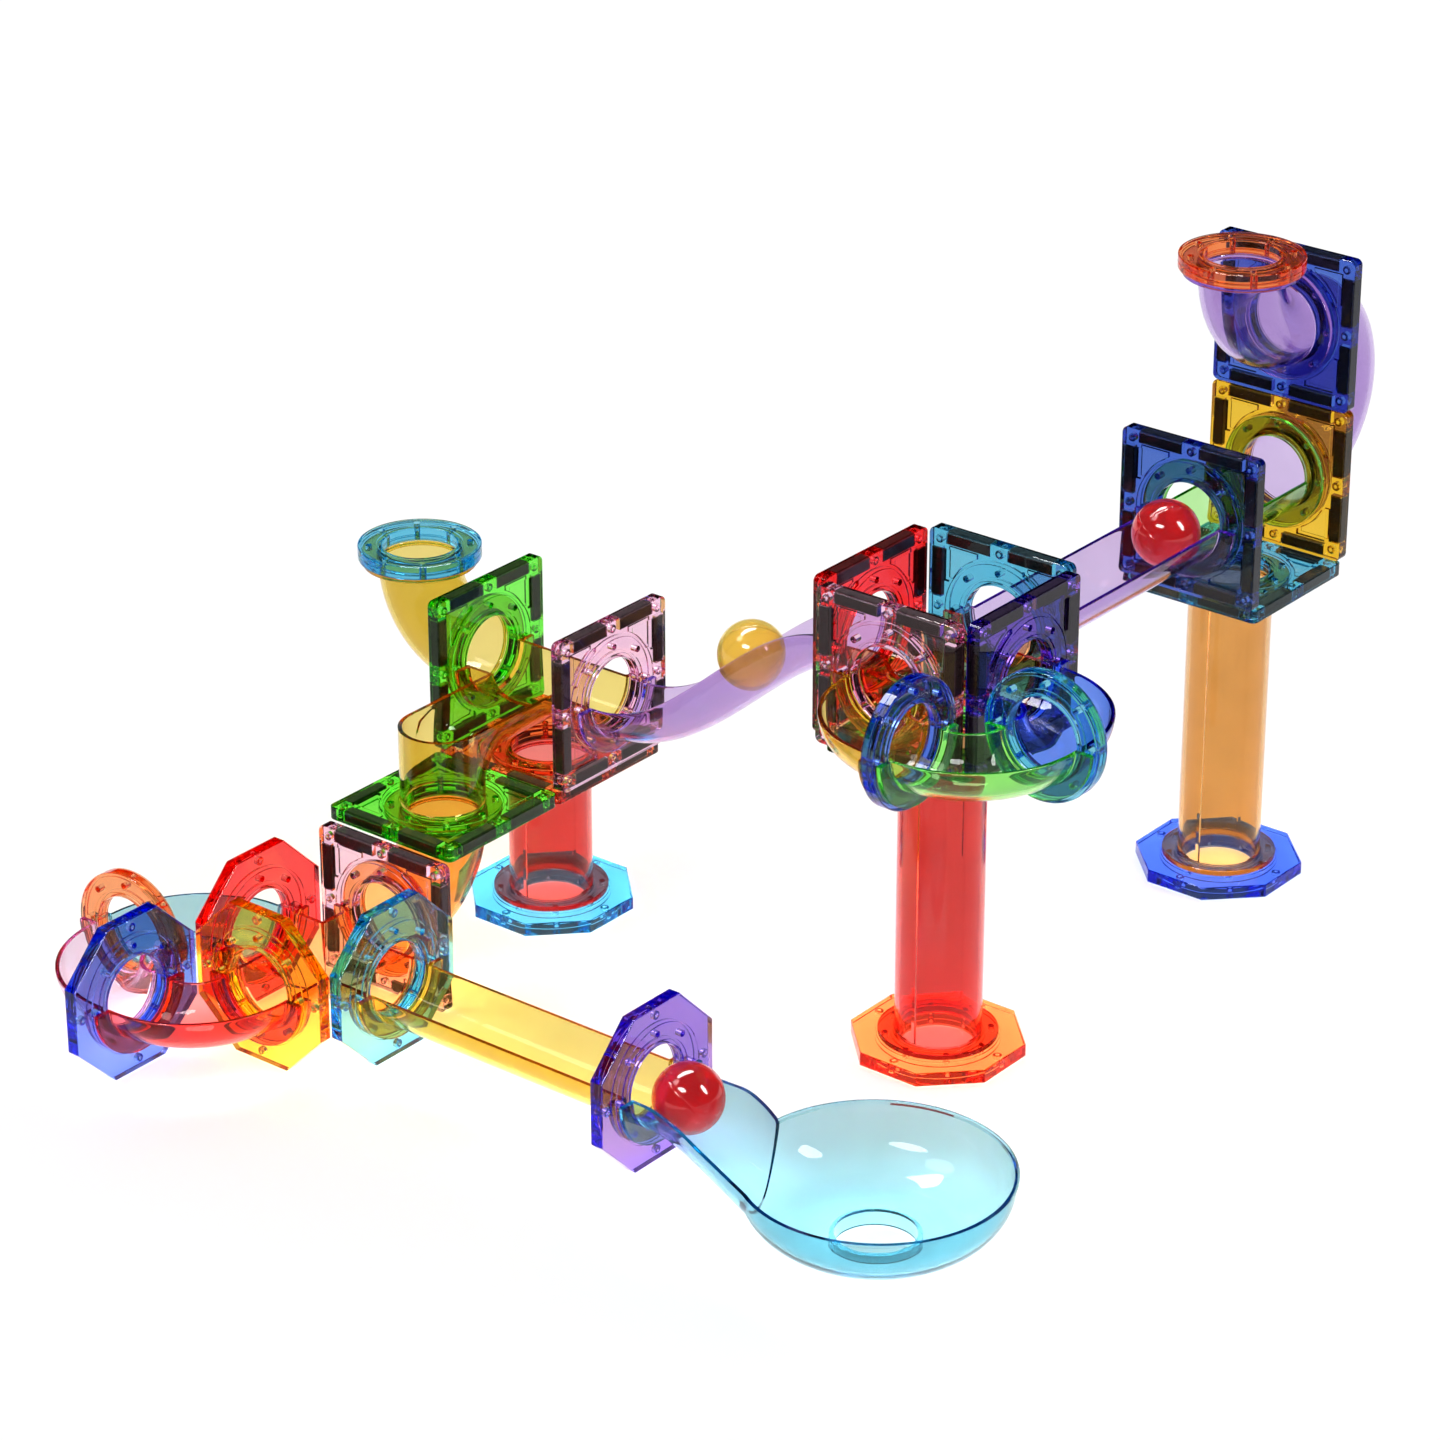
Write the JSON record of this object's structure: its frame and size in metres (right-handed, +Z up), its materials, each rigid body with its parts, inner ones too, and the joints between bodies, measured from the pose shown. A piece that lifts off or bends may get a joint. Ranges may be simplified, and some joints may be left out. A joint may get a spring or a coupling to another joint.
{
  "type": "marble run",
  "caption": "Marble run of clear magnetic tiles, octagon bases and rings, joined by tubes, open tracks and crossings, with a catch basin and rolling balls.",
  "frame": {"origin": "on the floor below the middle of the whole set's box", "axes": "+Z up; +Y along the high slide, towards the stacked tiles and the upper inlet; +X along the low track, towards the basin"},
  "size_m": [0.4826, 0.6056, 0.3137],
  "materials": {
    "blue_plastic": "clear, glossy",
    "cyan_plastic": "clear, glossy",
    "green_plastic": "clear, glossy",
    "yellow_plastic": "clear, glossy",
    "orange_plastic": "clear, glossy",
    "red_plastic": "clear, glossy",
    "pink_plastic": "clear, glossy",
    "purple_plastic": "clear, glossy",
    "lilac_plastic": "clear, glossy",
    "aqua_plastic": "clear, glossy",
    "clear_orange_plastic": "clear, glossy",
    "ball_red_plastic": "clear, glossy",
    "ball_yellow_plastic": "clear, glossy",
    "magnet": "dark, satin"
  },
  "bodies": {
    "root": {"tile_blue_top": "blue_plastic", "tile_yellow_back": "yellow_plastic", "tile_blue_front": "blue_plastic", "tile_cyan_floor": "cyan_plastic", "cube_tile_red": "red_plastic", "cube_tile_cyan": "cyan_plastic", "cube_tile_pink": "pink_plastic", "cube_tile_purple": "purple_plastic", "cube_tile_green_floor": "green_plastic", "tile_green_left": "green_plastic", "tile_pink_left": "pink_plastic", "tile_orange_floor": "orange_plastic", "tile_green_floor": "green_plastic", "tile_pink_low": "pink_plastic", "octagon_base_blue": "blue_plastic", "octagon_base_orange": "orange_plastic", "octagon_base_cyan": "cyan_plastic", "octagon_cyan": "cyan_plastic", "octagon_purple": "purple_plastic", "octagon_yellow": "yellow_plastic", "octagon_red": "red_plastic", "octagon_blue": "blue_plastic", "ring_orange_inlet": "orange_plastic", "ring_cyan_inlet": "cyan_plastic", "ring_blue_loop": "blue_plastic", "ring_cyan_loop": "cyan_plastic", "ring_orange_loop": "orange_plastic", "pole_clear_orange": "clear_orange_plastic", "pole_red_long": "red_plastic", "pole_red_short": "red_plastic", "elbow_lilac_inlet": "lilac_plastic", "elbow_yellow_inlet": "yellow_plastic", "elbow_orange_drop": "orange_plastic", "curve_yellow": "yellow_plastic", "curve_green": "green_plastic", "curve_blue": "blue_plastic", "curve_aqua": "aqua_plastic", "curve_pink": "pink_plastic", "curve_red": "red_plastic", "return_bend_lilac_upper": "lilac_plastic", "return_bend_lilac_lower": "lilac_plastic", "track_lilac_long": "lilac_plastic", "track_green_short": "green_plastic", "track_yellow_long": "yellow_plastic", "track_lilac_wave": "lilac_plastic", "crossing_orange_high": "orange_plastic", "crossing_orange_low": "orange_plastic", "catcher_yellow": "yellow_plastic", "basin_aqua": "aqua_plastic"},
    "ball_red_high": {"ball_red_high": "ball_red_plastic"},
    "ball_yellow": {"ball_yellow": "ball_yellow_plastic"},
    "ball_red_low": {"ball_red_low": "ball_red_plastic"}
  },
  "joints": [
    {"name": "ball_red_high_roll", "type": "slide", "parent": "root", "child": "ball_red_high", "axis": [0, -1, 0], "range_m": [0, 0.107]},
    {"name": "ball_yellow_roll", "type": "slide", "parent": "root", "child": "ball_yellow", "axis": [-0.7658, 0, -0.6431], "range_m": [-0.02, 0.03]},
    {"name": "ball_red_low_roll", "type": "slide", "parent": "root", "child": "ball_red_low", "axis": [0.97, -0.2425, -0.0194], "range_m": [0, 0.033]}
  ]
}
